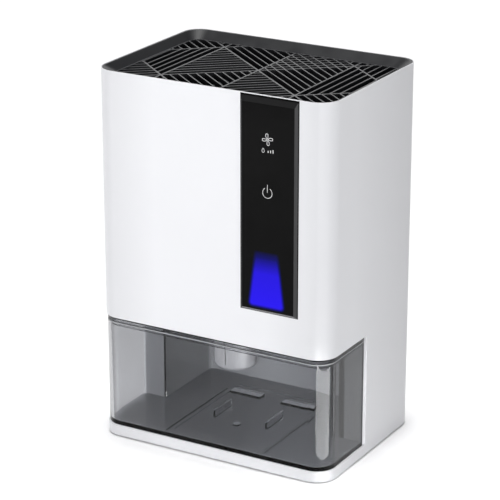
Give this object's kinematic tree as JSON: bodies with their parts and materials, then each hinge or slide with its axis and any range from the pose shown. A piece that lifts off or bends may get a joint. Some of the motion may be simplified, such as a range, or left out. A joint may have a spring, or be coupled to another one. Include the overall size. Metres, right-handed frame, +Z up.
{
  "type": "compact thermoelectric dehumidifier",
  "caption": "Compact white dehumidifier with a black hatched top grille, a gloss touch panel and a smoky drawer tank with float and fan inside.",
  "frame": {"origin": "centre of the footprint, on the surface that the feet stand on", "axes": "+Z up; the front, with the tank and the control panel, faces -Y; +X is to the right seen from the front"},
  "size_m": [0.169, 0.1235, 0.25],
  "materials": {
    "case_white": "smooth satin white",
    "inner_white": "matt white",
    "foot_rubber": "matt",
    "grille_black": "fine satin black",
    "panel_gloss": "piano black",
    "blue_window": "lit from behind",
    "board_green": "solder resist",
    "soft_gray": "foam",
    "lamp_white": "clear",
    "part_black": "moulded",
    "ceramic_white": "fine ceramic",
    "sink_aluminium": "extruded",
    "screw_steel": "zinc plated",
    "screw_black": "black oxide",
    "bearing_brass": "sintered",
    "coil_copper": "enamelled winding",
    "magnet_gray": "ferrite",
    "lead_red": "insulated wire",
    "lead_black": "insulated wire",
    "ribbon_gray": "flat cable",
    "tank_smoke": "clear smoky plastic",
    "seal_clear": "silicone",
    "float_white": "closed foam"
  },
  "bodies": {
    "housing": {"outer_shell": "case_white", "bay_liner": "inner_white", "rear_cover": "case_white", "bottom_plate": "inner_white", "rubber_feet": "foot_rubber", "top_frame": "grille_black", "top_grille": "grille_black", "panel_lens": "panel_gloss", "indicator_window": "blue_window", "control_board": "board_green", "touch_pads": "soft_gray", "indicator_leds": "lamp_white", "main_board": "board_green", "board_parts": "part_black", "peltier_module": "ceramic_white", "peltier_gasket": "soft_gray", "cold_sink": "sink_aluminium", "hot_sink": "sink_aluminium", "clamp_screws": "screw_steel", "fan_deck": "part_black", "deck_screws": "screw_black", "fan_frame": "part_black", "fan_screws": "screw_black", "fan_bearing": "bearing_brass", "fan_stator": "coil_copper", "drip_tray": "inner_white", "reed_switch": "part_black", "dc_inlet": "part_black", "peltier_leads": "lead_red", "fan_lead": "lead_black", "inlet_lead": "lead_black", "panel_ribbon": "ribbon_gray", "rear_screws": "screw_steel", "base_screws": "screw_steel", "board_screws": "screw_steel"},
    "tank": {"water_tank": "tank_smoke", "tank_lid": "tank_smoke", "lid_gasket": "seal_clear", "float_cage": "inner_white"},
    "float": {"tank_float": "float_white", "float_magnet": "magnet_gray"},
    "fan": {"fan_rotor": "part_black", "rotor_magnet": "magnet_gray", "fan_shaft": "screw_steel"}
  },
  "joints": [
    {"name": "tank_slide", "type": "slide", "parent": "housing", "child": "tank", "axis": [0, -1, 0], "range_m": [0, 0.12]},
    {"name": "float_rise", "type": "slide", "parent": "tank", "child": "float", "axis": [0, 0, 1], "range_m": [0, 0.01]},
    {"name": "fan_spin", "type": "hinge", "parent": "housing", "child": "fan", "pos_m": [0, 0.004, 0.215], "axis": [0, 0, 1], "continuous": true}
  ]
}
